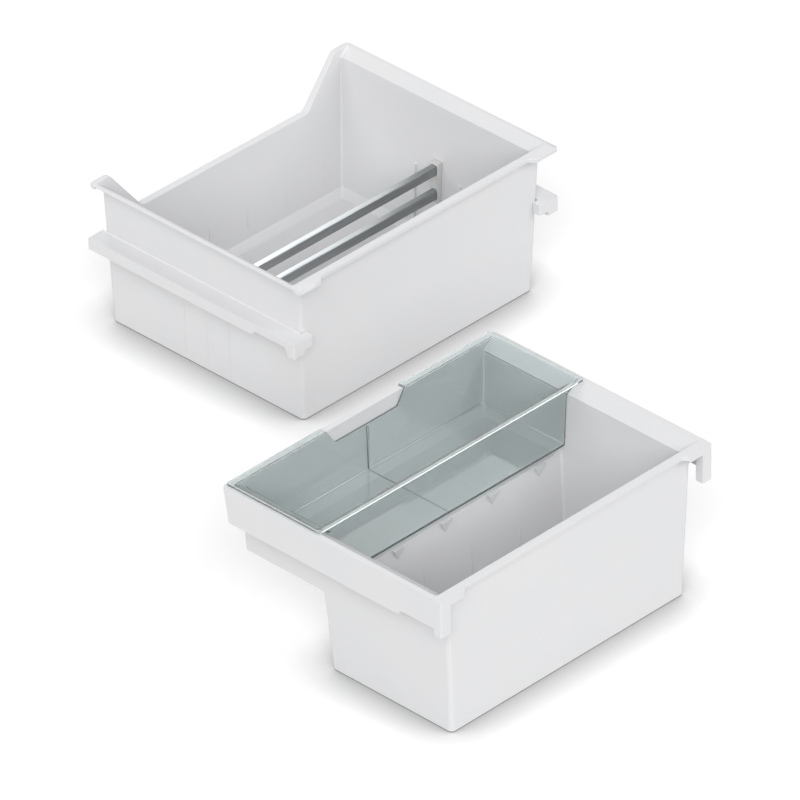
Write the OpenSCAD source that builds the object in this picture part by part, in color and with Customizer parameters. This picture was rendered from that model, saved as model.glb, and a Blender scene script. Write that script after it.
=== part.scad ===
// Two pull-out freezer drawers that stand side by side as a set: a deep upper drawer with
// clip-on side runners and a lift-out divider, and a stepped lower drawer with a clear tray.

/* [Set] */
// Sideways step from the lower drawer's centre line to the upper drawer's
set_step_x = 378; // [200:1:600]
// Clear floor from the lower drawer's rear rim to the upper drawer's front tabs
set_gap_y = 239; // [20:1:400]

/* [Both drawers] */
// Height of each drawer from the floor to its rim
bin_h = 219; // [205:1:260]
// Thickness of the moulded walls and floors
wall = 3; // [2:0.1:4]
// Outer radius of the upright corners
corner_r = 6; // [5:0.5:12]
// Height of the chamfer where the inner floor meets the walls
floor_chamfer = 10; // [4:0.5:14]
// Height of the lip that is turned down along the rim
lip_h = 6.5; // [5:0.5:9]
// Radius of the rim's rear corners
rim_r = 6; // [4.5:0.5:8]

/* [Upper drawer] */
// Width across the bottom
up_w = 427; // [380:1:500]
// Depth of the bottom from front to back
up_d = 347; // [310:1:420]
// Reach of the rim beyond the bottom at each side
up_rim_out = 26; // [24:0.5:34]
// Height of the low middle of the rear wall
up_back_h = 150; // [145:1:175]
// Width of that low middle along the rear wall
up_back_w = 307; // [260:1:330]
// Height of the locating ribs on the inner side walls
rib_h = 105; // [85:1:110]
// Step between neighbouring locating ribs
rib_pitch = 40.5; // [30:0.5:50]

/* [Side runners] */
// Reach of each runner beyond the drawer's bottom
runner_out = 32.5; // [29:0.5:36]
// Height of the runners' flat top above the floor
runner_z = 139; // [130:1:140]
// Drop of the runners' outer flange below their flat top
runner_drop = 17; // [13:0.5:20]

/* [Divider] */
// Height of each of the two cross bars
bar_h = 15; // [12:0.5:17]
// Thickness of the cross bars from front to back
bar_t = 9; // [6:0.2:10]
// Height of the lower bar's bottom edge above the floor
bar_low_z = 71.5; // [69:0.5:76]
// Step from the lower bar up to the top bar
bar_step = 37.5; // [30:0.5:40]
// Depth of the end posts from front to back
post_d = 14; // [13:0.5:18]

/* [Lower drawer] */
// Width across the bottom
lo_w = 422; // [380:1:500]
// Depth of the bottom of the deep part
lo_deep_d = 207; // [170:1:230]
// Depth that the whole drawer would have at floor level
lo_d = 349; // [325:1:420]
// Depth of the shallow rear part from the rim down to its underside
lo_shallow_h = 105; // [101:1:125]
// Reach of the rim beyond the bottom at each side
lo_rim_out = 33.7; // [31:0.1:40]
// Drop of the side aprons below the rim
apron_drop = 50; // [40:1:60]

/* [Tray] */
// Depth of the tray's rim from front to back
tray_rim_d = 163; // [140:1:180]
// Height of the tray from its bottom to its rim
tray_h = 91; // [70:1:93]
// Thickness of the clear walls
tray_wall = 2.5; // [2:0.1:3]
// Width of the finger notch at the top of the rear wall
notch_w = 144; // [90:1:180]
// Depth of the finger notch
notch_h = 22; // [15:1:30]

/* [Hidden] */

over = 1;            // overrun of every cut
arc_steps = 6;       // straight runs in one rounded corner
corner_turn = 45;    // turn of the slanted ends of the rim tabs, in degrees
edge_ease = 2;       // chamfer round the outer bottom edges

// Outward leans over the full height: side, front and rear
up_lean = [9.5, 6.5, 8];
lo_lean = [9.5, 2.5, 8];
deep_lean = [9.5, 2.5, 19.4];

// Rims: flat strip at the sides, height of the side flare, ledge and tabs at the front
up_strip = 5.5;
up_flare_h = 11.5;
up_ledge = 7;
up_tab_out = 9.1;
up_tab_len = 39;
up_rear_out = 5;
lo_strip = 8;
lo_flare_h = 13.5;
lo_ledge = 6;
lo_tab_out = 7.1;
lo_tab_len = 42;
lo_rear_out = 6;
lo_tab_lip = 10;
rim_front_r = 2.5;

// Half widths and flares that follow from the sizes above
up_half = up_w / 2;
lo_half = lo_w / 2;
up_rim_half = up_half + up_rim_out;
lo_rim_half = lo_half + lo_rim_out;
up_flare_out = up_rim_out - up_lean[0] - up_strip + wall;
lo_flare_out = lo_rim_out - lo_lean[0] - lo_strip + wall;
up_front = -up_lean[1] - up_ledge;
lo_front = -lo_lean[1] - lo_ledge;
up_rear = up_d + up_lean[2] + up_rear_out;
lo_rear = lo_d + lo_lean[2] + lo_rear_out;
lo_step_z = bin_h - lo_shallow_h;

// Rear cut-out of the upper drawer: inner end of each ear at the top, and its roundings
ear_in = 5;
ear_r = 12;
back_r = 10;

// Locating ribs, and the fine ridges with a dot on the rear walls
rib_t = 2.4;
rib_out = 3.4;
rib_count = 3;
rib_mid_y = 170.5;
line_w = 1;
line_deep = 0.4;
line_low_z = 3.5;
ridge_w = 2;
ridge_out = 1.3;
ridge_tip = 0.5;
dot_r = 2;
dot_sides = 24;
up_ridge_low = 30;
up_ridge_high = 61;
up_ridge_pitch = 71;
up_ridge_count = 6;
lo_ridge_low = 20;
lo_ridge_high = 62;
lo_ridge_pitch = 85.5;
lo_ridge_count = 4;

// Corbels under the rear edge of the deep part
corbel_w = 18;
corbel_h = 18;
corbel_out = 5;
corbel_count = 5;

// Runners: clearance to the wall, fillet along it, ends, step and the hook at the front
fit = 0.2;
runner_fillet = 1.5;
runner_rear_out = 1.5;
runner_front_out = 13;
runner_step_y = 60;
runner_step_h = 7;
step_len = 7;
hook_in = 20;
hook_h = 22;
arm_h = 15.5;
arm_in = 2.6;
block_r = 3;

// Aprons of the lower drawer: step, slanted rear end and the hook at the front
apron_step_h = 7;
apron_rear_in = 11.5;
apron_hook_w = 17;
apron_hook_d = 12;
apron_hook_h = 53;

// Divider: clearance, sockets and posts
slip = 0.4;
seat = 0.3;
post_w = 9.6;
post_over = 2;
post_under = 6.5;
post_r = 3;
socket_d = 2;
bar_r = 1.6;
bar_sides = 32;
bar_ahead = 0.8;

// Tray: clearances, overhang of its rim, centre rib and notch
tray_gap = 1.5;
tray_r = 4.5;
tray_rim_in = 5.7;
tray_front_out = 5.5;
tray_front_lean = 2;
tray_rear_in = 1.5;
tray_rib_h = 1;
tray_rib_w = 1.6;
tray_ease = 1.5;
notch_slope = 16;
notch_r = 5;

// Places of both drawers, with the origin under the middle of the set
up_shift_y = lo_rear + set_gap_y + up_tab_out - up_front;
set_left = -lo_rim_half;
set_right = set_step_x + up_half + max(up_rim_out, runner_out);
set_front = lo_front - lo_tab_out;
set_back = up_shift_y + up_rear;
set_middle = [(set_left + set_right) / 2, (set_front + set_back) / 2, 0];
lower_place = -set_middle;
upper_place = [set_step_x, up_shift_y, 0] - set_middle;

// Where a leaning face stands at height z
function leant(base, lean, z) = base + lean * z / bin_h;
function up_side(z) = leant(up_half, up_lean[0], z);
function up_inner(z) = up_side(z) - wall;

// One level of a loft: half width, front, rear and height
function level(half, depth, lean, z, grow, flare) = [
    leant(half, lean[0], z) + grow + flare,
    -leant(0, lean[1], z) - grow,
    leant(depth, lean[2], z) + grow,
    z];

// Points of an arc of radius r that rounds the corner b between a and c
function toward(a, b) = (b - a) / norm(b - a);
function corner_arc(a, b, c, r) =
    let (u = toward(b, a), v = toward(b, c), half_angle = acos(u * v) / 2)
    r <= 0 ? [b] :
    let (centre = b + toward([0, 0], u + v) * r / sin(half_angle),
         start = b + u * r / tan(half_angle) - centre,
         end = b + v * r / tan(half_angle) - centre,
         sweep = 180 - 2 * half_angle)
    [for (k = [0:arc_steps])
        centre + (start * sin(sweep * (1 - k / arc_steps)) + end * sin(sweep * k / arc_steps))
            / sin(sweep)];
function rounded(points, radii) = [
    for (k = [0:len(points) - 1])
        each corner_arc(points[(k + len(points) - 1) % len(points)], points[k],
                        points[(k + 1) % len(points)], radii[k])];

// Smooth tub through rounded rectangles, each given by level()
module loft(levels, r) {
    rings = [for (l = levels) rounded(
        [[l[0], l[1]], [l[0], l[2]], [-l[0], l[2]], [-l[0], l[1]]], [r, r, r, r])];
    n = len(rings[0]);
    points = [for (i = [0:len(levels) - 1]) for (p = rings[i]) [p[0], p[1], levels[i][3]]];
    bottom = [for (j = [0:n - 1]) j];
    top = [for (j = [n - 1:-1:0]) (len(levels) - 1) * n + j];
    sides = [for (i = [0:len(levels) - 2]) for (j = [0:n - 1])
        let (a = i * n + j, b = i * n + (j + 1) % n)
        each [[a, a + n, b + n], [a, b + n, b]]];
    polyhedron(points = points, faces = concat([bottom, top], sides));
}

// Profiles drawn in X and Z and drawn out along Y, or drawn in Y and Z and drawn out along X
module along_y(from, to) {
    translate([0, to, 0]) rotate([90, 0, 0]) linear_extrude(to - from) children();
}
module along_x(from, to) {
    translate([from, 0, 0]) rotate([90, 0, 90]) linear_extrude(to - from) children();
}
module both_sides() {
    children();
    mirror([1, 0, 0]) children();
}

// Outer and inner tub of a drawer
module outer_tub(half, depth, lean, flare_h, flare_out, low, high) {
    flared = high > bin_h - flare_h;
    loft(concat(
        [level(half, depth, lean, low, -edge_ease, 0),
         level(half, depth, lean, low + edge_ease, 0, 0)],
        flared ? [level(half, depth, lean, bin_h - flare_h - wall / 2, 0, 0),
                  level(half, depth, lean, bin_h - wall, 0, flare_out - wall / 2)] : [],
        [level(half, depth, lean, high, 0, flared ? flare_out - wall / 2 : 0)]), corner_r);
}
module inner_tub(half, depth, lean, flare_h, flare_out, low, high) {
    flared = high > bin_h - flare_h;
    loft(concat(
        [level(half, depth, lean, low, -wall - floor_chamfer, 0),
         level(half, depth, lean, low + floor_chamfer, -wall, 0)],
        flared ? [level(half, depth, lean, bin_h - flare_h, -wall, 0),
                  level(half, depth, lean, bin_h, -wall, flare_out)] : [],
        [level(half, depth, lean, high, -wall, flared ? flare_out : 0)]), corner_r - wall);
}

// Rim seen from above, with a tab at each front corner, drawn in by inset. Its edge is turned
// down into a lip from the front back to lip_rear
module rim_outline(half, front, rear, tab_len, tab_out, inset) {
    slant = inset * tan(corner_turn / 2);
    right = [
        [half - tab_len - tab_out + slant, front + inset],
        [half - tab_len + slant, front - tab_out + inset],
        [half - inset, front - tab_out + inset],
        [half - inset, rear - inset]];
    left = [for (k = [len(right) - 1:-1:0]) [-right[k][0], right[k][1]]];
    r = rim_r - inset;
    f = rim_front_r - inset;
    polygon(rounded(concat(right, left), [0, 0, f, r, r, f, 0, 0]));
}
module rim(half, front, rear, tab_len, tab_out, lip_rear) {
    under = lip_h - wall + over;
    translate([0, 0, bin_h - lip_h]) difference() {
        linear_extrude(lip_h) rim_outline(half, front, rear, tab_len, tab_out, 0);
        translate([0, 0, -over]) linear_extrude(under)
            rim_outline(half, front, rear, tab_len, tab_out, wall);
        translate([-half - over, lip_rear, -over]) cube([(half + over) * 2, rear, under]);
    }
}

// Fine upright ridge with a dot at its foot, on a rear wall that leans back
module rear_ridge(x, depth, lean, low, high) {
    face_low = leant(depth, lean, low) - wall;
    face_high = leant(depth, lean, high) - wall;
    along_x(x - ridge_w / 2, x + ridge_w / 2) polygon([
        [face_low - ridge_out, low], [face_high - ridge_tip, high],
        [face_high + wall / 2, high], [face_low + wall / 2, low]]);
    translate([x, face_low - ridge_out, low]) rotate([-90, 0, 0])
        cylinder(r = dot_r, h = ridge_out + wall / 2, $fn = dot_sides);
}
module rear_ridges(count, pitch, depth, lean, low, high) {
    for (k = [0:count - 1])
        rear_ridge((k - (count - 1) / 2) * pitch, depth, lean, low, high);
}

// Edge of the upper drawer's rear cut-out in X and Z, moved down by inset
function cutout_edge(inset) =
    let (low = [up_back_w / 2, up_back_h], high = [up_half - ear_in, bin_h],
         turn = atan2(high[1] - low[1], high[0] - low[0]),
         shift = [inset * tan(turn / 2), -inset])
    [low + shift, high + shift];
module cutout_profile() {
    edge = cutout_edge(0);
    flat = [up_half - ear_in + ear_r * 2, bin_h];
    curve = rounded([[0, up_back_h], edge[0], edge[1], flat], [0, back_r, ear_r, 0]);
    mirrored = [for (k = [len(curve) - 1:-1:0]) [-curve[k][0], curve[k][1]]];
    polygon(concat(curve, [[flat[0], bin_h + over], [-flat[0], bin_h + over]], mirrored));
}
module flange_profile() {
    edge = cutout_edge(wall);
    end = [up_rim_half - rim_r, bin_h - wall];
    curve = rounded([[0, up_back_h - wall], edge[0], edge[1], end],
                    [0, back_r + wall, ear_r - wall, 0]);
    mirrored = [for (k = [len(curve) - 1:-1:0]) [-curve[k][0], curve[k][1]]];
    polygon(concat(curve, [[end[0], bin_h], [-end[0], bin_h]], mirrored));
}

// Locating rib on the right inner wall, and the fine line that it leaves outside
module wall_rib(y) {
    along_y(y - rib_t / 2, y + rib_t / 2) polygon([
        [up_inner(wall) - rib_out, wall / 2], [up_inner(rib_h) - rib_out, rib_h],
        [up_inner(rib_h) + wall / 2, rib_h], [up_inner(wall) + wall / 2, wall / 2]]);
}
module wall_line(y) {
    high = runner_z - runner_drop;
    along_y(y - line_w / 2, y + line_w / 2) polygon([
        [up_side(line_low_z) - line_deep, line_low_z], [up_side(line_low_z) + over, line_low_z],
        [up_side(high) + over, high], [up_side(high) - line_deep, high]]);
}
function rib_y(k) = rib_mid_y + (k - (rib_count - 1) / 2) * rib_pitch;

module upper_bin() {
    color("#f2f3f5") translate(upper_place) {
        difference() {
            union() {
                outer_tub(up_half, up_d, up_lean, up_flare_h, up_flare_out, 0, bin_h - wall / 2);
                rim(up_rim_half, up_front, up_rear, up_tab_len, up_tab_out, up_front + wall);
                along_y(leant(up_d, up_lean[2], up_back_h) - wall, up_rear) flange_profile();
            }
            inner_tub(up_half, up_d, up_lean, up_flare_h, up_flare_out, wall, bin_h + over);
            along_y(up_d / 2, up_rear + over) cutout_profile();
            both_sides() for (k = [0:rib_count - 1]) wall_line(rib_y(k));
        }
        both_sides() for (k = [0:rib_count - 1]) wall_rib(rib_y(k));
        rear_ridges(up_ridge_count, up_ridge_pitch, up_d, up_lean[2], up_ridge_low,
                    up_ridge_high);
    }
}

// Right-hand runner: a channel open below, closed in front by a block with a hook and an arm
module runner() {
    low = runner_z - runner_drop;
    inner = [for (z = [low, runner_z, runner_z + runner_fillet]) up_side(z) + fit];
    outer = up_half + runner_out;
    front_face = -leant(0, up_lean[1], runner_z) - fit;
    front = front_face - runner_front_out;
    difference() {
        along_y(front_face, up_d + up_lean[2] + runner_rear_out) polygon([
            [inner[1] + runner_fillet, runner_z], [inner[2], runner_z + runner_fillet],
            [inner[0], low], [inner[0] + wall, low],
            [inner[0] + wall, runner_z - wall], [outer - wall, runner_z - wall],
            [outer - wall, low], [outer, low], [outer, runner_z]]);
        along_x(outer - wall - over, outer + over) polygon([
            [front_face - over, low - over], [runner_step_y, low - over], [runner_step_y, low],
            [runner_step_y - step_len, low + runner_step_h],
            [front_face - over, low + runner_step_h]]);
    }
    translate([0, 0, runner_z - arm_h]) linear_extrude(arm_h) polygon(rounded(
        [[up_half - arm_in, front], [outer, front], [outer, front_face + wall],
         [inner[1], front_face + wall], [inner[1], front_face], [up_half - arm_in, front_face]],
        [block_r, block_r, 0, 0, 0, 0]));
    translate([0, 0, runner_z - hook_h]) linear_extrude(hook_h) polygon(rounded(
        [[outer - hook_in, front], [outer, front], [outer, front_face], [outer - hook_in, front_face]],
        [0, block_r, 0, 0]));
}
module upper_runner_right() {
    color("#ededf0") translate(upper_place) runner();
}
module upper_runner_left() {
    color("#ededf0") translate(upper_place) mirror([1, 0, 0]) runner();
}

// Rounded cross section of a bar, standing in Y and Z
module bar_section(grow) {
    t = bar_t + grow * 2;
    h = bar_h + grow * 2;
    r = bar_r + grow;
    square([t - r * 2, h], center = true);
    square([t, h - r * 2], center = true);
    for (sy = [-1, 1]) for (sz = [-1, 1])
        translate([sy * (t / 2 - r), sz * (h / 2 - r)]) circle(r = r, $fn = bar_sides);
}
bar_y = rib_mid_y - bar_ahead;
bar_top_z = bar_low_z + bar_step;
post_top = bar_top_z + bar_h + post_over;
post_face = up_inner(post_top) - slip - post_w;
module bar(z) {
    reach = post_face + socket_d - fit;
    along_x(-reach, reach) translate([bar_y, z + bar_h / 2]) bar_section(0);
}
module divider_top_bar() {
    color("#6f7577") translate(upper_place) bar(bar_top_z);
}
module divider_bottom_bar() {
    color("#6f7577") translate(upper_place) bar(bar_low_z);
}

// Right-hand end post: it drops over a locating rib and takes both bars in sockets
module end_post() {
    low = bar_low_z - post_under;
    slot_top = rib_h + seat;
    slot_in = rib_out + slip;
    difference() {
        along_y(rib_mid_y - post_d / 2, rib_mid_y + post_d / 2) polygon(rounded([
            [post_face, low], [up_inner(low) - slip, low],
            [up_inner(post_top) - slip, post_top], [post_face, post_top]],
            [post_r, 0, 0, post_r]));
        along_y(rib_mid_y - rib_t / 2 - slip, rib_mid_y + rib_t / 2 + slip) polygon([
            [up_inner(low) - slot_in, low - over], [up_inner(low) + over, low - over],
            [up_inner(slot_top) + over, slot_top], [up_inner(slot_top) - slot_in, slot_top]]);
        for (z = [bar_low_z, bar_top_z])
            along_x(post_face - over, post_face + socket_d)
                translate([bar_y, z + bar_h / 2]) bar_section(fit);
    }
}
module divider_end_right() {
    color("#e8e9eb") translate(upper_place) end_post();
}
module divider_end_left() {
    color("#e8e9eb") translate(upper_place) mirror([1, 0, 0]) end_post();
}

// Pointed corbel that fills the corner under the shallow floor, at x along the deep rear wall
module corbel(x) {
    top = lo_step_z + wall;
    face_top = leant(lo_deep_d, deep_lean[2], top) - wall;
    face_low = leant(lo_deep_d, deep_lean[2], top - corbel_h) - wall;
    w = corbel_w / 2;
    points = [
        [x - w, face_top - corbel_out, top], [x + w, face_top - corbel_out, top],
        [x + w, face_top + wall / 2, top], [x - w, face_top + wall / 2, top],
        [x, face_low, top - corbel_h], [x, face_low + wall / 2, top - corbel_h]];
    polyhedron(points = points, faces = [
        [3, 2, 1, 0], [0, 1, 4], [2, 3, 5], [1, 2, 5], [1, 5, 4], [3, 0, 4], [3, 4, 5]]);
}

// Apron that hangs from the right side of the lower rim, with a step and a hook in front
module apron() {
    front = lo_front - lo_tab_out;
    low = bin_h - apron_drop;
    high = low + apron_step_h;
    along_x(lo_rim_half - wall, lo_rim_half) polygon([
        [front + apron_hook_d / 2, bin_h - wall / 2], [front + apron_hook_d / 2, high],
        [runner_step_y - step_len, high], [runner_step_y, low],
        [lo_rear - apron_rear_in, low], [lo_rear - wall, bin_h - wall / 2]]);
    translate([0, 0, bin_h - apron_hook_h])
        linear_extrude(apron_hook_h - wall / 2) polygon(rounded(
            [[lo_rim_half - apron_hook_w, front], [lo_rim_half, front],
             [lo_rim_half, front + apron_hook_d], [lo_rim_half - apron_hook_w, front + apron_hook_d]],
            [0, rim_front_r, 0, 0]));
    translate([0, 0, bin_h - lo_tab_lip])
        linear_extrude(lo_tab_lip - wall / 2) polygon([
            [lo_rim_half - lo_tab_len, front], [lo_rim_half - apron_hook_w / 2, front],
            [lo_rim_half - apron_hook_w / 2, front + wall],
            [lo_rim_half - lo_tab_len + wall * tan(corner_turn / 2), front + wall]]);
}

module lower_bin() {
    color("#f2f3f5") translate(lower_place) {
        difference() {
            union() {
                outer_tub(lo_half, lo_deep_d, deep_lean, lo_flare_h, lo_flare_out, 0,
                          lo_step_z + edge_ease);
                outer_tub(lo_half, lo_d, lo_lean, lo_flare_h, lo_flare_out, lo_step_z,
                          bin_h - wall / 2);
                rim(lo_rim_half, lo_front, lo_rear, lo_tab_len, lo_tab_out, lo_rear);
                both_sides() apron();
            }
            inner_tub(lo_half, lo_deep_d, deep_lean, lo_flare_h, lo_flare_out, wall,
                      lo_step_z + wall + floor_chamfer);
            inner_tub(lo_half, lo_d, lo_lean, lo_flare_h, lo_flare_out, lo_step_z + wall,
                      bin_h + over);
        }
        for (k = [0:corbel_count - 1])
            corbel((k - (corbel_count - 1) / 2) * lo_ridge_pitch);
        rear_ridges(lo_ridge_count, lo_ridge_pitch, lo_deep_d, deep_lean[2], lo_ridge_low,
                    lo_ridge_high);
    }
}

// Clear tray that hangs by its rim on the lower drawer's side strips and rear rim
tray_low = bin_h + seat + tray_wall - tray_h;
tray_front_y = lo_rear - tray_rear_in - tray_rim_d + tray_front_out;
function tray_level(z, grow, flare) = [
    leant(lo_half, lo_lean[0], z) - wall - tray_gap + grow + flare,
    leant(tray_front_y + tray_front_lean, -tray_front_lean, z) - grow,
    leant(lo_d, lo_lean[2], z) - wall - tray_gap + grow,
    z];
module tray_shell(low, skin, ease, high) {
    flare_low = bin_h - lo_flare_h + tray_gap + skin / 2;
    loft([tray_level(low, -skin - ease, 0), tray_level(low + ease, -skin, 0),
          tray_level(flare_low, -skin, 0),
          tray_level(bin_h + seat + skin, -skin, lo_flare_out),
          tray_level(high, -skin, lo_flare_out)], tray_r - skin);
}
module tray_notch() {
    top = bin_h + seat + tray_wall;
    along_y(lo_d - tray_rim_d / 2, lo_rear + over) polygon(rounded([
        [-notch_w / 2, top + over], [-notch_w / 2 + notch_slope, top - notch_h],
        [notch_w / 2 - notch_slope, top - notch_h], [notch_w / 2, top + over]],
        [0, notch_r, notch_r, 0]));
}
module tray() {
    rim_half = lo_rim_half - tray_rim_in;
    rim_rear = lo_rear - tray_rear_in;
    rim_front = rim_rear - tray_rim_d;
    floor_z = tray_low + tray_wall;
    rear_in = leant(lo_d, lo_lean[2], floor_z) - wall - tray_gap - tray_wall;
    color("#94a09e", 0.6) translate(lower_place) difference() {
        union() {
            difference() {
                union() {
                    tray_shell(tray_low, 0, tray_ease, bin_h + seat + tray_wall / 2);
                    translate([0, 0, bin_h + seat]) linear_extrude(tray_wall) polygon(rounded(
                        [[rim_half, rim_front], [rim_half, rim_rear],
                         [-rim_half, rim_rear], [-rim_half, rim_front]],
                        [tray_r, tray_r, tray_r, tray_r]));
                }
                tray_shell(floor_z, tray_wall, tray_ease, bin_h + seat + tray_wall + over);
            }
            along_x(-tray_rib_w / 2, tray_rib_w / 2) polygon([
                [tray_front_y + tray_wall, floor_z - tray_wall / 2],
                [tray_front_y + tray_wall, floor_z + tray_rib_h],
                [rear_in - tray_rib_h, floor_z + tray_rib_h],
                [rear_in - tray_rib_h, bin_h - notch_h],
                [rear_in + tray_wall, bin_h - notch_h],
                [rear_in + tray_wall, floor_z - tray_wall / 2]]);
        }
        tray_notch();
    }
}

upper_bin();
upper_runner_left();
upper_runner_right();
divider_top_bar();
divider_bottom_bar();
divider_end_left();
divider_end_right();
lower_bin();
tray();
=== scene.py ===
import math

import bmesh
import bpy
from mathutils import Matrix, Vector


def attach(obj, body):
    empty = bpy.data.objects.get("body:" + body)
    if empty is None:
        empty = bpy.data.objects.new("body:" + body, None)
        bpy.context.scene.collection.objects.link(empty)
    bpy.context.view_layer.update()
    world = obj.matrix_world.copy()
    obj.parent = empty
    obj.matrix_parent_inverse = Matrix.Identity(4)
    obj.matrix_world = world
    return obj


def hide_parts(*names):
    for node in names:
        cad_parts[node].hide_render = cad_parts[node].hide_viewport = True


bl_info = {
    "name": "Freezer drawer set",
    "version": (1, 0, 0),
    "blender": (4, 5, 0),
    "location": "View3D > Sidebar > Drawers",
    "description": "Dresses a set of two pull-out freezer drawers, with its stage and camera",
    "category": "Object",
}

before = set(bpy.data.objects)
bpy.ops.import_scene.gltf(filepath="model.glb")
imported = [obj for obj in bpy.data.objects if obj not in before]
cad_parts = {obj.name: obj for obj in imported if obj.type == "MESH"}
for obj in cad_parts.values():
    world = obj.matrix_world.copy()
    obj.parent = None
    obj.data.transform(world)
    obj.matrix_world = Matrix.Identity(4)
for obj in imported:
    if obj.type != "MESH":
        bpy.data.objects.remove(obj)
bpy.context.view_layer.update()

MM = 0.001
NOISE_SPAN = (0.3, 0.7)  # the middle range, which a noise pattern mostly fills


def linear(hex_colour):
    """Turns an sRGB hex colour into linear red, green and blue."""
    channels = [int(hex_colour[i:i + 2], 16) / 255 for i in (0, 2, 4)]
    return [c / 12.92 if c <= 0.04045 else ((c + 0.055) / 1.055) ** 2.4 for c in channels]


def add_node(tree, kind, settings=None, inputs=None):
    """Adds a node with its settings, and sets or links each of its named inputs."""
    node = tree.nodes.new(kind)
    for key, value in (settings or {}).items():
        setattr(node, key, value)
    for key, value in (inputs or {}).items():
        if isinstance(value, bpy.types.NodeSocket):
            tree.links.new(value, node.inputs[key])
        else:
            node.inputs[key].default_value = value
    return node


def new_material(name):
    """Makes an empty node material and returns it with its tree."""
    material = bpy.data.materials.new(name)
    material.use_nodes = True
    material.node_tree.nodes.clear()
    return material, material.node_tree


# Materials

def moulded_polystyrene(name, colour, roughness):
    """High-impact polystyrene, injection moulded in a fine-blasted tool.

    The eye sees an even white with a soft, broad sheen, a very faint cloudiness where the melt
    flowed, and a grain too fine to resolve, so the grain is drawn a little coarser than it is.
    """
    grain_size = 1.4 * MM
    grain_depth = 0.1 * MM
    grain_strength = 0.05
    cloud_size = 90 * MM
    cloud_share = (0.98505, 0.99, 0.99396)
    sheen_play = 0.03
    cloudy = [c * share for c, share in zip(colour, cloud_share)]
    material, tree = new_material(name)
    place = add_node(tree, "ShaderNodeTexCoord")
    cloud = add_node(tree, "ShaderNodeTexNoise", None, {
        "Vector": place.outputs["Object"], "Scale": 1 / cloud_size, "Detail": 2.0,
        "Roughness": 0.4})
    tone = add_node(tree, "ShaderNodeValToRGB", None, {"Fac": cloud.outputs["Fac"]})
    for stop, position, shade in zip(tone.color_ramp.elements, NOISE_SPAN, (cloudy, colour)):
        stop.position = position
        stop.color = (*shade, 1)
    grain = add_node(tree, "ShaderNodeTexNoise", None, {
        "Vector": place.outputs["Object"], "Scale": 1 / grain_size, "Detail": 3.0,
        "Roughness": 0.6})
    sheen_map = add_node(tree, "ShaderNodeMapRange", None, {
        "Value": cloud.outputs["Fac"], "From Min": NOISE_SPAN[0], "From Max": NOISE_SPAN[1],
        "To Min": roughness - sheen_play, "To Max": roughness + sheen_play})
    bump = add_node(tree, "ShaderNodeBump", None, {
        "Strength": grain_strength, "Distance": grain_depth, "Height": grain.outputs["Fac"]})
    surface = add_node(tree, "ShaderNodeBsdfPrincipled", None, {
        "Base Color": tone.outputs["Color"], "Roughness": sheen_map.outputs["Result"],
        "Normal": bump.outputs["Normal"], "IOR": 1.5})
    add_node(tree, "ShaderNodeOutputMaterial", None, {"Surface": surface.outputs["BSDF"]})
    return material


def brushed_aluminium(name, colour):
    """Aluminium strip, brushed along its length and anodised dark.

    Fine lines run along the bar and make its tone streaky. They are drawn coarser than the real
    scratches, which are too fine to show at this distance. Painted light: the colour is painted
    lighter at the left end and darker at the right end, for the light that falls along the bars.
    """
    line_length = 60 * MM
    line_width = 1.3 * MM
    line_depth = 0.05 * MM
    line_strength = 0.12
    line_shares = (0.72, 1.15)
    line_roughness = (0.28, 0.42)
    # painted light: the colour is scaled from 2.15 times at the left end down to 1.0 at the right
    # end
    painted_light_from, painted_light_to = 0.0 * MM, 380 * MM
    lightest, darkest = 2.15, 1.0
    line_tones = [[min(1, c * share) for c in colour] for share in line_shares]
    material, tree = new_material(name)
    place = add_node(tree, "ShaderNodeTexCoord")
    along = add_node(tree, "ShaderNodeSeparateXYZ", None, {0: place.outputs["Object"]})
    painted_light_scale = add_node(tree, "ShaderNodeMapRange", None, {
        "Value": along.outputs["X"], "From Min": painted_light_from, "From Max": painted_light_to,
        "To Min": lightest, "To Max": darkest})
    stretch = add_node(tree, "ShaderNodeMapping", None, {
        "Vector": place.outputs["Object"],
        "Scale": (1 / line_length, 1 / line_width, 1 / line_width)})
    lines = add_node(tree, "ShaderNodeTexNoise", None, {
        "Vector": stretch.outputs["Vector"], "Scale": 1.0, "Detail": 4.0, "Roughness": 0.65})
    tone = add_node(tree, "ShaderNodeValToRGB", None, {"Fac": lines.outputs["Fac"]})
    for stop, position, shade in zip(tone.color_ramp.elements, NOISE_SPAN, line_tones):
        stop.position = position
        stop.color = (*shade, 1)
    # the streaky tone times the painted light along the bar
    shade = add_node(tree, "ShaderNodeVectorMath", {"operation": "SCALE"}, {
        "Vector": tone.outputs["Color"], "Scale": painted_light_scale.outputs["Result"]})
    polish = add_node(tree, "ShaderNodeMapRange", None, {
        "Value": lines.outputs["Fac"], "From Min": NOISE_SPAN[0], "From Max": NOISE_SPAN[1],
        "To Min": line_roughness[0], "To Max": line_roughness[1]})
    bump = add_node(tree, "ShaderNodeBump", None, {
        "Strength": line_strength, "Distance": line_depth, "Height": lines.outputs["Fac"]})
    surface = add_node(tree, "ShaderNodeBsdfPrincipled", None, {
        "Base Color": shade.outputs["Vector"], "Metallic": 1.0,
        "Roughness": polish.outputs["Result"], "Normal": bump.outputs["Normal"]})
    add_node(tree, "ShaderNodeOutputMaterial", None, {"Surface": surface.outputs["BSDF"]})
    return material


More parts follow.
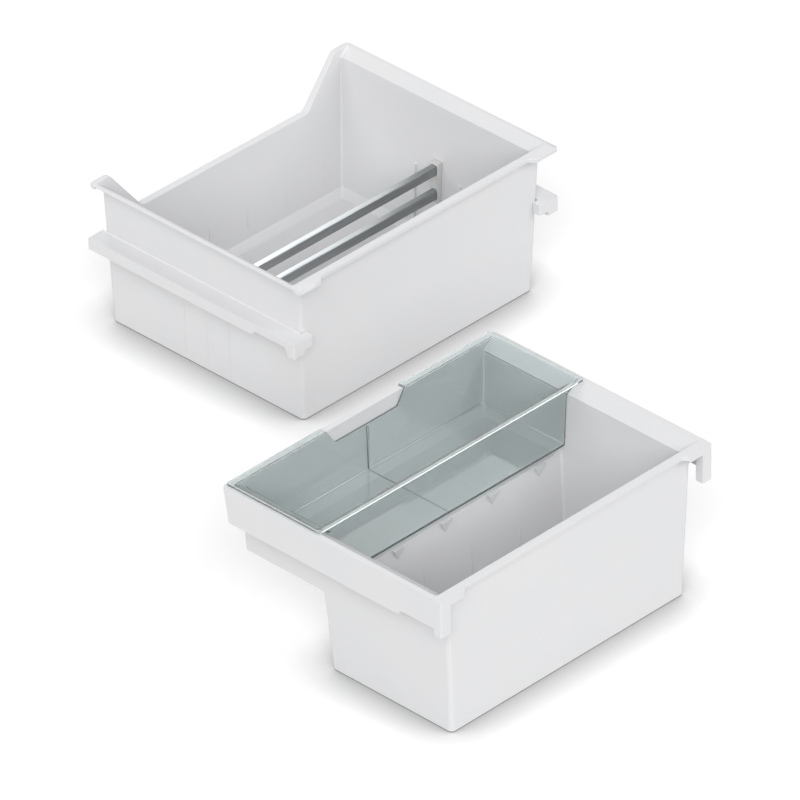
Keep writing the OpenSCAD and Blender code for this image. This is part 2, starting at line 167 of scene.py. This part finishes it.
def clear_styrene(name, colour, body_colour, density):
    """Clear styrene moulding with a grey-green body tint.

    A wall seen straight on is clear with a slight haze, and a rim or corner seen along its depth
    goes dark, because the tint sits in the plastic. Lamps shine through it, and lose a part at
    each face.
    """
    lamp_share = (0.32, 0.34, 0.34, 1)
    haze = 0.03
    clearness = 0.93
    material, tree = new_material(name)
    surface = add_node(tree, "ShaderNodeBsdfPrincipled", None, {
        "Base Color": (*colour, 1), "Roughness": haze, "IOR": 1.59,
        "Transmission Weight": clearness})
    passed = add_node(tree, "ShaderNodeBsdfTransparent", None, {"Color": lamp_share})
    path = add_node(tree, "ShaderNodeLightPath")
    shader = add_node(tree, "ShaderNodeMixShader", None, {
        0: path.outputs["Is Shadow Ray"], 1: surface.outputs["BSDF"],
        2: passed.outputs["BSDF"]})
    body = add_node(tree, "ShaderNodeVolumeAbsorption", None, {
        "Color": (*body_colour, 1), "Density": density})
    add_node(tree, "ShaderNodeOutputMaterial", None, {
        "Surface": shader.outputs["Shader"], "Volume": body.outputs["Volume"]})
    return material


def seen_ray(tree):
    """Gives 1 on rays from the camera, also by way of gloss or a clear part, and 0 on rays that
    bring light to a matt surface."""
    before_matt = 0.5  # less than one bounce off a matt surface
    path = add_node(tree, "ShaderNodeLightPath")
    gloss = add_node(tree, "ShaderNodeMath", {"operation": "MAXIMUM"}, {
        0: path.outputs["Is Camera Ray"], 1: path.outputs["Is Glossy Ray"]})
    clear = add_node(tree, "ShaderNodeMath", {"operation": "MAXIMUM"}, {
        0: gloss.outputs[0], 1: path.outputs["Is Transmission Ray"]})
    direct = add_node(tree, "ShaderNodeMath", {"operation": "LESS_THAN"}, {
        0: path.outputs["Diffuse Depth"], 1: before_matt})
    return add_node(tree, "ShaderNodeMath", {"operation": "MULTIPLY"}, {
        0: clear.outputs[0], 1: direct.outputs[0]}).outputs[0]


def studio_floor(name, colour, lift):
    """Matt white studio sweep. A small lift that the camera and gloss see, and that gives no
    light, keeps the open floor white. The floor darkens close to what stands on it, as a soft
    contact shadow."""
    shade_width = 70 * MM
    shade_rays = 8
    paint = (*colour, 1)
    material, tree = new_material(name)
    shade = add_node(tree, "ShaderNodeAmbientOcclusion", {"samples": shade_rays}, {
        "Color": (1, 1, 1, 1), "Distance": shade_width})
    matt = add_node(tree, "ShaderNodeBsdfDiffuse", None, {"Color": paint})
    # sockets 6 and 7 are the mix node's two colours, and output 2 is its colour
    shaded = add_node(tree, "ShaderNodeMix", {"data_type": "RGBA", "blend_type": "MULTIPLY"}, {
        0: 1.0, 6: paint, 7: shade.outputs["Color"]})
    seen_matt = add_node(tree, "ShaderNodeBsdfDiffuse", None, {"Color": shaded.outputs[2]})
    glow = add_node(tree, "ShaderNodeEmission", None, {
        "Color": shade.outputs["Color"], "Strength": lift})
    both = add_node(tree, "ShaderNodeAddShader", None, {
        0: seen_matt.outputs["BSDF"], 1: glow.outputs["Emission"]})
    shader = add_node(tree, "ShaderNodeMixShader", None, {
        0: seen_ray(tree), 1: matt.outputs["BSDF"], 2: both.outputs["Shader"]})
    add_node(tree, "ShaderNodeOutputMaterial", None, {"Surface": shader.outputs["Shader"]})
    return material


# Shapes

def has_room(edge, sharp, room):
    """Tells whether an edge can be rounded off without running into its neighbours.

    At both ends, each edge beside it has to be the next one of the same smooth line, or at least
    as long as the room. Edges that meet in a narrow tip are left as they are.
    """
    same_line = math.radians(40)
    narrow_tip = math.radians(110)
    for vert in edge.verts:
        ahead = vert.co - edge.other_vert(vert).co
        for beside in vert.link_edges:
            if beside is edge:
                continue
            turn = ahead.angle(beside.other_vert(vert).co - vert.co, 0)
            if beside in sharp and turn > narrow_tip:
                return False
            if beside.calc_length() < room and not (beside in sharp and turn < same_line):
                return False
    return True


def softened_copy(node, name, radius, segments, full):
    """Copies a CAD node as a piece whose sharp edges are rounded off.

    The copy's loose triangles are merged and its flat faces joined, so that each edge left is one
    of the form's own, and those that turn sharply and have room get a bevel. With full, each of
    them gets the whole radius, and faces with very many corners, which can fold over when their
    edges move, are split into triangles first. Without it, they all get as much of the radius as
    the tightest place among them allows.
    """
    least_turn = math.radians(24)
    least_length = 0.3 * MM
    merged = 0.002 * MM
    sliver = 0.01 * MM
    flat = math.radians(0.4)
    crease = math.radians(30)
    most_corners = 50
    radii_of_room = 2.8
    room = radius * radii_of_room
    bm = bmesh.new()
    bm.from_mesh(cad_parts[node].data)
    bmesh.ops.remove_doubles(bm, verts=bm.verts, dist=merged)
    bmesh.ops.dissolve_limit(bm, angle_limit=flat, use_dissolve_boundaries=False,
                             verts=bm.verts, edges=bm.edges, delimit=set())
    bmesh.ops.dissolve_degenerate(bm, dist=sliver, edges=bm.edges)
    if full:
        bmesh.ops.triangulate(bm, faces=[f for f in bm.faces if len(f.verts) > most_corners])
    bm.normal_update()
    sharp = {e for e in bm.edges if len(e.link_faces) == 2 and e.calc_face_angle() > least_turn}
    rounded = [e for e in bm.edges if e in sharp and e.calc_length() > least_length
               and has_room(e, sharp, room)]
    bmesh.ops.bevel(bm, geom=rounded, offset=radius, offset_type="OFFSET", segments=segments,
                    profile=0.5, affect="EDGES", clamp_overlap=not full, material=-1,
                    loop_slide=True, miter_outer="ARC", miter_inner="SHARP")
    bmesh.ops.remove_doubles(bm, verts=bm.verts, dist=merged)
    bmesh.ops.triangulate(bm, faces=[f for f in bm.faces if len(f.verts) > 4])
    for face in bm.faces:
        face.smooth = True
    mesh = bpy.data.meshes.new(name)
    bm.to_mesh(mesh)
    bm.free()
    mesh.set_sharp_from_angle(angle=crease)
    piece = bpy.data.objects.new(name, mesh)
    bpy.context.scene.collection.objects.link(piece)
    even = piece.modifiers.new("even shading", "WEIGHTED_NORMAL")
    even.keep_sharp = True
    return piece


def dress(node, name, body, material, radius, segments, full=False):
    """Puts a softened copy of a node in the node's place, on its body, in its material."""
    piece = softened_copy(node, name, radius, segments, full)
    piece.data.materials.append(material)
    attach(piece, body)
    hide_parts(node)


# Settings

class DrawerFinish(bpy.types.PropertyGroup):
    """Colours and edges of the drawers."""

    plastic: bpy.props.FloatVectorProperty(
        name="White plastic", description="Colour of both bins", subtype="COLOR",
        min=0, max=1, default=linear("E0E0E1"))
    runner: bpy.props.FloatVectorProperty(
        name="Runner plastic", description="Colour of the side runners", subtype="COLOR",
        min=0, max=1, default=linear("E0E0E1"))
    # painted shade: the end posts are the bins' white plastic, painted darker (CFCFCF, not E0E0E1)
    # for the shade they stand in inside the bin
    post: bpy.props.FloatVectorProperty(
        name="Post plastic", description="Colour of the divider's end posts", subtype="COLOR",
        min=0, max=1, default=linear("CFCFCF"))
    trim: bpy.props.FloatVectorProperty(
        name="Brushed trim", description="Colour of the cross bars", subtype="COLOR",
        min=0, max=1, default=linear("A0A3A4"))
    clear: bpy.props.FloatVectorProperty(
        name="Tray surface", description="Colour of the clear tray's surface",
        subtype="COLOR", min=0, max=1, default=linear("F6FBFB"))
    tint: bpy.props.FloatVectorProperty(
        name="Tray tint", description="Colour that the depth of the clear plastic lets through",
        subtype="COLOR", min=0, max=1, default=linear("93A6A3"))
    tint_density: bpy.props.FloatProperty(
        name="Tint density", description="How fast the clear plastic takes up light, per metre",
        min=0, default=24)
    sheen: bpy.props.FloatProperty(
        name="Plastic roughness", description="Roughness of the white plastic",
        subtype="FACTOR", min=0, max=1, default=0.42)
    upper_edge: bpy.props.FloatProperty(
        name="Upper bin edge radius", description="Radius on the upper bin's edges",
        unit="LENGTH", min=0, default=0.8 * MM)
    runner_edge: bpy.props.FloatProperty(
        name="Runner edge radius",
        description="Radius on the runners; small, so that their joint with the wall stays fine",
        unit="LENGTH", min=0, default=0.2 * MM)
    trim_edge: bpy.props.FloatProperty(
        name="Trim edge radius", description="Radius on the metal bars", unit="LENGTH",
        min=0, default=0.5 * MM)
    post_edge: bpy.props.FloatProperty(
        name="Post edge radius", description="Radius on the divider's end posts",
        unit="LENGTH", min=0, default=0.4 * MM)
    lower_edge: bpy.props.FloatProperty(
        name="Lower bin edge radius", description="Largest radius on the lower bin's edges",
        unit="LENGTH", min=0, default=0.32 * MM)
    tray_edge: bpy.props.FloatProperty(
        name="Tray edge radius", description="Largest radius on the clear tray's edges",
        unit="LENGTH", min=0, default=0.4 * MM)
    edge_steps: bpy.props.IntProperty(
        name="Edge steps", description="Faces across one rounded edge", min=1, default=3)


class DrawerStage(bpy.types.PropertyGroup):
    """Camera, lamps and floor."""

    azimuth: bpy.props.FloatProperty(
        name="Azimuth", description="Turn of the camera round the drawers", unit="ROTATION",
        default=math.radians(-45.68))
    elevation: bpy.props.FloatProperty(
        name="Elevation", description="Camera's height above the floor, as an angle",
        unit="ROTATION", default=math.radians(33.38))
    roll: bpy.props.FloatProperty(
        name="Roll", description="Camera's turn about its own axis", unit="ROTATION",
        default=math.radians(-0.56))
    distance: bpy.props.FloatProperty(
        name="Distance", description="From the camera to the middle of the set",
        unit="LENGTH", min=0, default=15.317)
    aim_height: bpy.props.FloatProperty(
        name="Aim height", description="Height of the point that the camera turns about",
        unit="LENGTH", default=0.11)
    aside: bpy.props.FloatProperty(
        name="Aside", description="Camera's step to its right", unit="LENGTH", default=0.0067)
    down: bpy.props.FloatProperty(
        name="Down", description="Camera's step down in its own plane", unit="LENGTH",
        default=0.0216)
    lens: bpy.props.FloatProperty(
        name="Lens", description="Focal length", subtype="DISTANCE_CAMERA", min=1, default=540)
    sky: bpy.props.FloatProperty(
        name="Sky", description="Strength of the even light from all around", min=0,
        default=0.3)
    key: bpy.props.FloatProperty(
        name="Key light", description="Strength of the light beside the camera", min=0,
        default=1.85)
    right: bpy.props.FloatProperty(
        name="Right light", description="Strength of the light that faces the front walls",
        min=0, default=0.92)
    left: bpy.props.FloatProperty(
        name="Left light", description="Strength of the light that faces the left walls",
        min=0, default=0.62)
    back: bpy.props.FloatProperty(
        name="Back light", description="Strength of the light from behind the drawers", min=0,
        default=0.34)
    light_height: bpy.props.FloatProperty(
        name="Light height", description="Angle of the lights above the floor",
        unit="ROTATION", default=math.radians(35))
    light_spread: bpy.props.FloatProperty(
        name="Light spread", description="Angle that each light fills; wider is softer",
        unit="ROTATION", default=math.radians(40))
    floor_lift: bpy.props.FloatProperty(
        name="Floor lift", description="Glow that keeps the open floor white", min=0,
        default=0.42)
    floor_colour: bpy.props.FloatVectorProperty(
        name="Floor", description="Colour of the floor", subtype="COLOR", min=0, max=1,
        default=linear("DCDCDC"))


# Pieces

class DRAWERS_OT_upper_bin(bpy.types.Operator):
    """Dress the upper drawer's bin in white moulded plastic"""

    bl_idname = "drawers.upper_bin"
    bl_label = "Upper bin"

    def execute(self, context):
        finish = context.scene.drawer_finish
        plastic = moulded_polystyrene("white_moulded_polystyrene", finish.plastic, finish.sheen)
        dress("upper_bin", "upper_bin_shell", "bins", plastic,
              finish.upper_edge, finish.edge_steps, full=True)
        return {"FINISHED"}


class DRAWERS_OT_upper_runners(bpy.types.Operator):
    """Dress both side runners of the upper drawer"""

    bl_idname = "drawers.upper_runners"
    bl_label = "Upper runners"

    def execute(self, context):
        finish = context.scene.drawer_finish
        plastic = moulded_polystyrene("runner_moulded_polystyrene", finish.runner, finish.sheen)
        for side in ("left", "right"):
            dress(f"upper_runner_{side}", f"runner_{side}", "bins", plastic,
                  finish.runner_edge, finish.edge_steps)
        return {"FINISHED"}


class DRAWERS_OT_divider(bpy.types.Operator):
    """Dress the divider: two brushed bars between two moulded end posts"""

    bl_idname = "drawers.divider"
    bl_label = "Divider"

    def execute(self, context):
        finish = context.scene.drawer_finish
        trim = brushed_aluminium("dark_brushed_aluminium", finish.trim)
        # the end posts get the white plastic painted darker, as painted shade
        plastic = moulded_polystyrene("post_moulded_polystyrene", finish.post, finish.sheen)
        for place in ("top", "bottom"):
            dress(f"divider_{place}_bar", f"cross_bar_{place}", "divider", trim,
                  finish.trim_edge, finish.edge_steps, full=True)
        for side in ("left", "right"):
            dress(f"divider_end_{side}", f"end_post_{side}", "divider", plastic,
                  finish.post_edge, finish.edge_steps, full=True)
        return {"FINISHED"}


class DRAWERS_OT_lower_bin(bpy.types.Operator):
    """Dress the lower drawer's bin in white moulded plastic"""

    bl_idname = "drawers.lower_bin"
    bl_label = "Lower bin"

    def execute(self, context):
        finish = context.scene.drawer_finish
        plastic = moulded_polystyrene("white_lower_polystyrene", finish.plastic, finish.sheen)
        dress("lower_bin", "lower_bin_shell", "bins", plastic,
              finish.lower_edge, finish.edge_steps)
        return {"FINISHED"}


class DRAWERS_OT_clear_tray(bpy.types.Operator):
    """Dress the clear tray that hangs on the lower drawer's rim"""

    bl_idname = "drawers.clear_tray"
    bl_label = "Clear tray"

    def execute(self, context):
        finish = context.scene.drawer_finish
        styrene = clear_styrene("clear_tinted_styrene", finish.clear, finish.tint,
                                finish.tint_density)
        dress("tray", "clear_tray", "tray", styrene, finish.tray_edge,
              finish.edge_steps)
        return {"FINISHED"}


def outward(azimuth, elevation):
    """Gives the direction from the drawers to a camera or lamp. Azimuth 0 is straight in front."""
    return Vector((math.sin(azimuth) * math.cos(elevation),
                   -math.cos(azimuth) * math.cos(elevation), math.sin(elevation)))


def point_camera(stage):
    """Places the camera at the photograph's viewing angle."""
    far_view = 4  # in camera distances, so that the whole floor is seen
    back = outward(stage.azimuth, stage.elevation)
    level_right = Vector((math.cos(stage.azimuth), math.sin(stage.azimuth), 0))
    level_up = back.cross(level_right)
    right = level_right * math.cos(stage.roll) + level_up * math.sin(stage.roll)
    up = level_up * math.cos(stage.roll) - level_right * math.sin(stage.roll)
    aim = Vector((0, 0, stage.aim_height))
    place = aim + back * stage.distance + right * stage.aside - up * stage.down
    data = bpy.data.cameras.new("camera")
    data.lens = stage.lens
    data.clip_end = stage.distance * far_view
    camera = bpy.data.objects.new("camera", data)
    camera.matrix_world = Matrix((
        (right.x, up.x, back.x, place.x), (right.y, up.y, back.y, place.y),
        (right.z, up.z, back.z, place.z), (0, 0, 0, 1)))
    bpy.context.scene.collection.objects.link(camera)
    bpy.context.scene.camera = camera


def hang_light(name, azimuth, strength, stage):
    """Hangs a broad studio light. A sun lamp lights both drawers alike, wherever it hangs."""
    lamp_distance = 3.0
    back = outward(math.radians(azimuth), stage.light_height)
    data = bpy.data.lights.new(name, "SUN")
    data.energy = strength
    data.angle = stage.light_spread
    lamp = bpy.data.objects.new(name, data)
    lamp.location = back * lamp_distance
    lamp.rotation_euler = back.to_track_quat("Z", "Y").to_euler()
    bpy.context.scene.collection.objects.link(lamp)


def light_sky(strength):
    """Even light from all around, seen as white by the camera and in gloss and clear parts."""
    world = bpy.data.worlds.new("studio")
    world.use_nodes = True
    tree = world.node_tree
    tree.nodes.clear()
    light = add_node(tree, "ShaderNodeBackground", None, {
        "Color": (1, 1, 1, 1), "Strength": strength})
    seen = add_node(tree, "ShaderNodeBackground", None, {
        "Color": (1, 1, 1, 1), "Strength": 1.0})
    shader = add_node(tree, "ShaderNodeMixShader", None, {
        0: seen_ray(tree), 1: light.outputs["Background"],
        2: seen.outputs["Background"]})
    add_node(tree, "ShaderNodeOutputWorld", None, {"Surface": shader.outputs["Shader"]})
    bpy.context.scene.world = world


class DRAWERS_OT_stage(bpy.types.Operator):
    """Lay the floor, hang the lamps and place the camera"""

    bl_idname = "drawers.stage"
    bl_label = "Stage"

    def execute(self, context):
        stage = context.scene.drawer_stage
        floor_size = 24.0
        lamp_azimuths = {"key": -48, "right": 25, "left": -115, "back": 132}
        bm = bmesh.new()
        bmesh.ops.create_grid(bm, x_segments=1, y_segments=1, size=floor_size / 2)
        mesh = bpy.data.meshes.new("floor")
        bm.to_mesh(mesh)
        bm.free()
        floor = bpy.data.objects.new("floor", mesh)
        mesh.materials.append(
            studio_floor("studio_sweep", stage.floor_colour, stage.floor_lift))
        context.scene.collection.objects.link(floor)
        light_sky(stage.sky)
        for name, azimuth in lamp_azimuths.items():
            hang_light(name, azimuth, getattr(stage, name), stage)
        point_camera(stage)
        context.scene.view_settings.view_transform = "Standard"
        return {"FINISHED"}


class DRAWERS_PT_panel(bpy.types.Panel):
    """Lists the drawer set's operators in the sidebar"""

    bl_label = "Freezer drawer set"
    bl_idname = "DRAWERS_PT_panel"
    bl_space_type = "VIEW_3D"
    bl_region_type = "UI"
    bl_category = "Drawers"

    def draw(self, context):
        for operator in OPERATORS:
            self.layout.operator(operator.bl_idname)
        for group in (context.scene.drawer_finish, context.scene.drawer_stage):
            for name in group.__annotations__:
                self.layout.prop(group, name)


OPERATORS = (DRAWERS_OT_upper_bin, DRAWERS_OT_upper_runners, DRAWERS_OT_divider,
             DRAWERS_OT_lower_bin, DRAWERS_OT_clear_tray, DRAWERS_OT_stage)
CLASSES = (DrawerFinish, DrawerStage, *OPERATORS, DRAWERS_PT_panel)


def register():
    for cls in CLASSES:
        bpy.utils.register_class(cls)
    bpy.types.Scene.drawer_finish = bpy.props.PointerProperty(type=DrawerFinish)
    bpy.types.Scene.drawer_stage = bpy.props.PointerProperty(type=DrawerStage)


def unregister():
    del bpy.types.Scene.drawer_stage
    del bpy.types.Scene.drawer_finish
    for cls in reversed(CLASSES):
        bpy.utils.unregister_class(cls)


def main():
    register()
    bpy.ops.drawers.upper_bin()
    bpy.ops.drawers.upper_runners()
    bpy.ops.drawers.divider()
    bpy.ops.drawers.lower_bin()
    bpy.ops.drawers.clear_tray()
    bpy.ops.drawers.stage()


if __name__ == "__main__":
    main()
